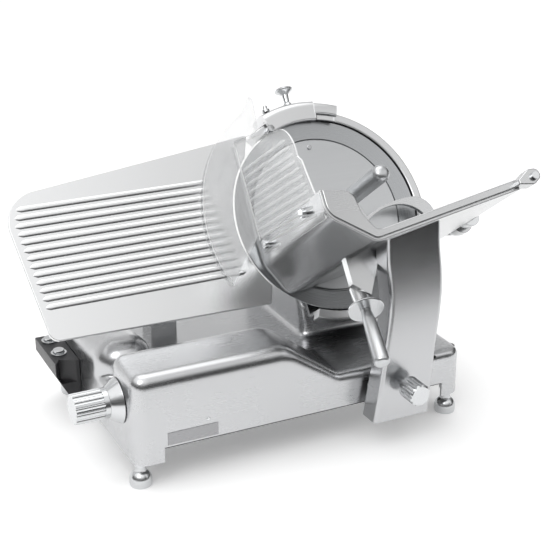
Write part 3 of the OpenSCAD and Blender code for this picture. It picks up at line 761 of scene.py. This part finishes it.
def traySheet():
    t = tray
    steps = t["steps"]
    depths = [t["near"] + (t["far"] - 0.4 - t["near"]) * k / steps for k in range(steps + 1)]
    rows = [traySection(n) for n in depths]
    count = len(rows[0])
    points = [(p[0], p[1], n) for n, row in zip(depths, rows) for p in row]
    faces = [(k * count + i, (k + 1) * count + i, (k + 1) * count + i + 1, k * count + i + 1)
             for k in range(steps) for i in range(count - 1)]
    holder = placed("holder", meshFrom("traySheet", points, faces))
    thick = holder.modifiers.new("thick", "SOLIDIFY")
    thick.thickness = t["wall"]
    thick.offset = -1
    bevelled(holder, 1.6, 3, 50)
    return released(holder)


def makeTray():
    t = tray
    tip = t["right"] + t["lip"]
    lower = [Vector(p) for p in traySection(t["far"])]
    upper = [(tip, trayRim(tip)), (-66, trayRim(-66)), (-84, -78), (-89, -50), (-97, -38), (-112, -35)]
    upper = softLine(upper, [16, 30, 10, 8], 6)
    outline = lower + [Vector((tip, trayFloor(tip)))] + [Vector(p) for p in upper]
    front = rounded(slab("trayFront", outline, t["far"] - 8, t["far"]), 2.2, 4, 35)
    eye = [(204, trayFloor(204) + 0.4), (232, -82), (250, -70), (245, -54), (226, -54),
           (204, trayFloor(204) + 9)]
    eye = filletOutline(eye, [0, 14, 14, 13, 10, 0], 8)
    lug = rounded(slab("trayLug", eye, 266, 290), 2.4, 4, 35)
    nearLug = rounded(slab("trayNearLug", eye, 4.3, 12), 1.2, 3, 35)
    whole = joined("foodTray", [traySheet(), front, lug, nearLug])
    piece("foodTray", whole, "food_tray", "tray", bladeFrame, sharp=45)


makeTray()
print("tray done")

guards = {"ribStep": 13.5, "ribWidth": 8.0, "ribHeight": 2.2, "ribFall": 0.086, "ribs": 12, "firstRib": 14,
          "ribMargin": 9, "ribSteps": 24, "ribAcross": 8, "ribFade": 10, "foot": -67, "face": -144.9}


def paintedEdgeLight(obj, way):  # painted highlight: the cut edges of a clear sheet get a brighter, more opaque copy of the clear plastic in place of the light they catch
    obj.data.materials.append(finishes["clearEdgeHighlight"])
    obj.data.materials.append(finishes["clearRibHighlight"])
    for polygon in obj.data.polygons:
        if polygon.material_index == 0 and abs(polygon.normal.dot(way)) < 0.45:
            polygon.material_index = 1


def guardRib(side, rise):  # one rib of the side guard, as long as its outline allows
    g = guards
    margin = g["ribMargin"]

    def line(n):
        return g["foot"] - (n - 5) * g["ribFall"] + rise

    def clear(n):
        return all(inside((n + a, line(n) + b), side) for a in (-margin, margin) for b in (-margin, margin))

    allowed = [n for n in range(14, 262, 2) if clear(n)]
    if len(allowed) < 12:
        return None
    low, high = allowed[0], allowed[-1]
    steps, across = g["ribSteps"], g["ribAcross"]
    points = []
    for i in range(steps + 1):
        n = low + (high - low) * i / steps
        fade = endFade(min(n - low, high - n), g["ribFade"])
        for j in range(across + 1):
            w = 2 * j / across - 1
            u = line(n) + w * g["ribWidth"] / 2 * (0.3 + 0.7 * fade)
            points.append((u, n, g["face"] - g["ribHeight"] * fade * (1 - w * w) ** 0.8))
    rib = meshFrom("guardRib", points, ribFaces(0, steps, across))
    # painted highlight: the ribs take the brighter, more opaque copy of the clear plastic
    for polygon in rib.polygons:
        polygon.material_index = 2
    return rib


def makeGuards():
    side = [Vector(p) for p in ((5, -67), (268, -75), (251, -21), (240, 32))]
    side += arcPoints(175, 50, 56, -8, 68, 12) + [Vector(p) for p in ((159, 110), (123, 122), (5, 148))]
    plate = rounded(slab("guardPlate", [(p[1], p[0]) for p in side], -145, -141), 1.2, 3, 40)
    ribs = [guardRib(side, guards["firstRib"] + k * guards["ribStep"]) for k in range(guards["ribs"])]
    whole = joined("sideGuard", [plate] + [rib for rib in ribs if rib])
    obj = piece("sideGuard", whole, "tray_guard", "clear", bladeFrame @ outlineAlongX, sharp=50)
    paintedEdgeLight(obj, acrossBlade)
    wing = [Vector((-145, -20))] + arcPoints(0, 0, 235, 205, 119, 48)
    wing += [Vector(p) for p in ((-95, 232), (-88, 226), (-92, 172), (-110, 160), (-145, 152))]
    wing = filletOutline(wing, [4] + [0] * 49 + [6, 6, 12, 10, 4], 6)
    obj = piece("wingGuard", slab("wingGuard", wing, 6, 10), "wing_guard", "clear", bladeFrame, 1.2, 3, 40)
    paintedEdgeLight(obj, outOfBlade)


makeGuards()
print("clear guards done")

arm = {"front": -259, "back": -219, "low": 54, "top": 393, "skin": 8, "round": 8,
       "blockFront": -252, "blockBack": -219.2,
       "blocks": ((94, 133.4, 54.2, 112), (166.6, 189, 54.2, 112), (133, 167, 74, 112)),
       "left": [(54, 86), (148, 99), (220, 108), (266, 111), (300, 109), (345, 104), (393, 102)],
       "right": [(54, 193), (120, 198), (176, 202), (230, 208), (266, 210), (300, 208), (345, 202),
                 (393, 199)]}


def armTop(x, y):  # height of the tray's underside above a point of the arm
    level = layout["trayDrop"] + traySlope * (x - 141) - 0.4
    return 330 + (level - (y - 16) * math.sin(lean)) / math.cos(lean)


def makeArm():
    a = arm
    rows = []
    steps = 48
    for k in range(steps + 1):
        t = k / steps
        z = a["low"] + (a["top"] - a["low"]) * t
        xl, xr = curveThrough(a["left"], z), curveThrough(a["right"], z)
        f, b, s, c = a["front"], a["back"], a["skin"], a["round"]
        loop = [(xl, b), (xl, f), (xr, f), (xr, b)]
        loop += [(xr - s, b), (xr - s, f + s), (xl + s, f + s), (xl + s, b)]
        loop = filletOutline(loop, [2.5, c, c, 2.5, 2.5, 4, 4, 2.5], 5)
        rows.append([(p[0], p[1], a["low"] + t * (armTop(p[0], p[1]) - a["low"])) for p in loop])
    count = len(rows[0])
    points = [p for row in rows for p in row]
    faces = [(k * count + i, k * count + (i + 1) % count,
              (k + 1) * count + (i + 1) % count, (k + 1) * count + i)
             for k in range(steps) for i in range(count)]
    faces += [tuple(reversed(range(count))), tuple(range(steps * count, (steps + 1) * count))]
    meshes = [meshFrom("armChannel", points, faces)]
    for left, right, low, high in a["blocks"]:
        front, back = a["blockFront"], a["blockBack"]
        corners = [(left, front), (right, front), (right, back), (left, back)]
        meshes.append(slab("armBlock", corners, low, high))
    piece("carriageArm", joined("carriageArm", meshes), "carriage_arm", "arm", layoutFrame, 1.2, 3, 50)


handles = {"gripEnd": (-77, -214, 185), "gripTurn": -13, "gripTilt": 65, "knobRound": 15.5, "knobCurve": 12,
           "knobShoulder": 147}


def makeHandles():
    h = handles
    grip = [(0, 0), (8.4, 0), (8.9, 0.6), (8.9, 3.2), (8.3, 3.8), (8.3, 4.8), (9.1, 5.6), (10.6, 22),
            (12.2, 60), (13.3, 98), (13.3, 101), (12.6, 104), (11.2, 106), (9.0, 107), (0, 107)]
    hold = bladeFrame @ Matrix.Translation(h["gripEnd"])
    hold = hold @ Matrix.Rotation(math.radians(h["gripTurn"]), 4, "Z")
    hold = hold @ Matrix.Rotation(math.radians(h["gripTilt"]), 4, "X")
    piece("carriageHandle", lathe("grip", grip, 96), "carriage_handle", "satin", hold, sharp=40)
    disc = [(0, 0), (28.6, 0), (29.7, 0.8), (30, 2), (29.7, 3.2), (28.6, 4), (9.6, 4), (9, 4.6), (9, 7),
            (0, 7)]
    facing = hold @ Matrix.Rotation(math.pi, 4, "X")
    piece("handleDisc", lathe("disc", disc, 128), "handle_disc", "knob", facing, sharp=30)
    wide, curve, shoulder = h["knobRound"], h["knobCurve"], h["knobShoulder"]
    knob = [(0, 0), (12, 0), (12, 10), (13, 12.5), (wide, 15), (wide, shoulder - 3)]
    for i in range(11):
        a = i * math.pi / 20
        knob.append((wide - curve + curve * math.cos(a), shoulder + curve * math.sin(a)))
    knob.append((0, shoulder + curve))
    upright = bladeFrame @ turned(20, 6, 35, (0, 0, 1))
    piece("pusherHandle", lathe("pusherGrip", knob, 96), "pusher_handle", "satin", upright, sharp=40)


makeArm()
makeHandles()
print("arm and handles done")

room = {"floorTone": 0.94, "glow": 0.2, "frontEdge": -0.72, "backEdge": 3.0, "floorHalf": 8.0, "sweep": 1.2,
        "sweepSteps": 14, "wallTop": 6.5, "sky": 1.35, "rightDim": 0.42, "beyond": 0.93}


def makeFloor():  # a pale floor that sweeps up into a back wall
    r = room
    path = [(r["frontEdge"], 0.0), (r["backEdge"], 0.0)]
    for k in range(1, r["sweepSteps"] + 1):
        a = math.pi / 2 * k / r["sweepSteps"]
        path.append((r["backEdge"] + r["sweep"] * math.sin(a), r["sweep"] - r["sweep"] * math.cos(a)))
    path.append((r["backEdge"] + r["sweep"], r["wallTop"]))
    points = [(x, y, z) for y, z in path for x in (-r["floorHalf"], r["floorHalf"])]
    faces = [(2 * i, 2 * i + 1, 2 * i + 3, 2 * i + 2) for i in range(len(path) - 1)]
    mesh = meshFrom("floor", points, faces)
    obj = placed("floor", mesh)
    f = Finish("paleFloor")
    cloud = f.speckle(1.5, 2.0)
    tone = r["floorTone"]
    colour = f.tint(cloud, (tone, tone, tone), (tone + 0.02, tone + 0.02, tone + 0.02))
    f.surface(Base_Color=colour, Roughness=0.8,
              Emission_Color=(1.0, 1.0, 1.0, 1.0), Emission_Strength=r["glow"])
    mesh.materials.append(f.material)
    for polygon in mesh.polygons:
        polygon.use_smooth = True


def makeLight(name, place, target, size, power):
    light = bpy.data.lights.new(name, "AREA")
    light.shape = "RECTANGLE"
    light.size, light.size_y = size
    light.energy = power
    obj = placed(name, light)
    obj.location = place
    obj.rotation_euler = (Vector(target) - Vector(place)).to_track_quat("-Z", "Y").to_euler()


def makeSky():  # dark low down, light above, and dimmer to the right of the slicer
    world = bpy.data.worlds.new("studio")
    world.use_nodes = True
    sky = world.node_tree
    nodes, link = sky.nodes, sky.links.new
    glow = nodes["Background"]
    place = nodes.new("ShaderNodeTexCoord")
    parts = nodes.new("ShaderNodeSeparateXYZ")
    ramp = nodes.new("ShaderNodeValToRGB")
    ramp.color_ramp.elements.new(0.5)
    for element, (height, tone) in zip(ramp.color_ramp.elements, ((0.02, 0.05), (0.34, 0.16), (0.66, 1.0))):
        element.position = height
        element.color = (tone, tone, tone, 1)
    side = nodes.new("ShaderNodeMapRange")
    for slot, value in zip((1, 2, 3, 4), (0.20, 0.50, 1.0, room["rightDim"])):
        side.inputs[slot].default_value = value
    share = nodes.new("ShaderNodeMath")
    share.operation = "MULTIPLY"
    share.inputs[1].default_value = room["sky"]
    plain = nodes.new("ShaderNodeBackground")  # what is seen past the floor's edge
    plain.inputs[0].default_value = (room["beyond"], room["beyond"], room["beyond"], 1)
    ray = nodes.new("ShaderNodeLightPath")
    pick = nodes.new("ShaderNodeMixShader")
    link(place.outputs["Generated"], parts.inputs[0])
    link(parts.outputs[2], ramp.inputs[0])
    link(parts.outputs[0], side.inputs[0])
    link(side.outputs[0], share.inputs[0])
    link(ramp.outputs[0], glow.inputs[0])
    link(share.outputs[0], glow.inputs[1])
    link(ray.outputs["Is Camera Ray"], pick.inputs[0])
    link(glow.outputs[0], pick.inputs[1])
    link(plain.outputs[0], pick.inputs[2])
    link(pick.outputs[0], nodes["World Output"].inputs[0])
    bpy.context.scene.world = world
    bpy.context.scene.view_settings.view_transform = "Standard"


shot = {"lens": 86.07, "sensor": 36, "fromBlade": (-1.0495, -1.9379, 0.7803), "pitch": 67.8, "turn": -26}


def makeCamera():
    data = bpy.data.cameras.new("camera")
    data.lens = shot["lens"]
    data.sensor_width = shot["sensor"]
    camera = placed("camera", data)
    camera.location = Vector(layout["bladeCentre"]) * 0.001 + Vector(shot["fromBlade"])
    camera.rotation_euler = (math.radians(shot["pitch"]), 0, math.radians(shot["turn"]))
    bpy.context.scene.camera = camera


makeFloor()
makeLight("keyLight", (-1.8, -1.6, 2.6), (0, 0, 0.2), (1.6, 1.6), 22)
makeLight("fillLight", (2.2, -1.8, 1.6), (0, 0, 0.25), (1.4, 2.0), 6)
makeLight("topLight", (0.2, 0.4, 2.6), (0.1, 0.0, 0.2), (2.4, 1.6), 12)
makeSky()
makeCamera()
print("room and camera done")
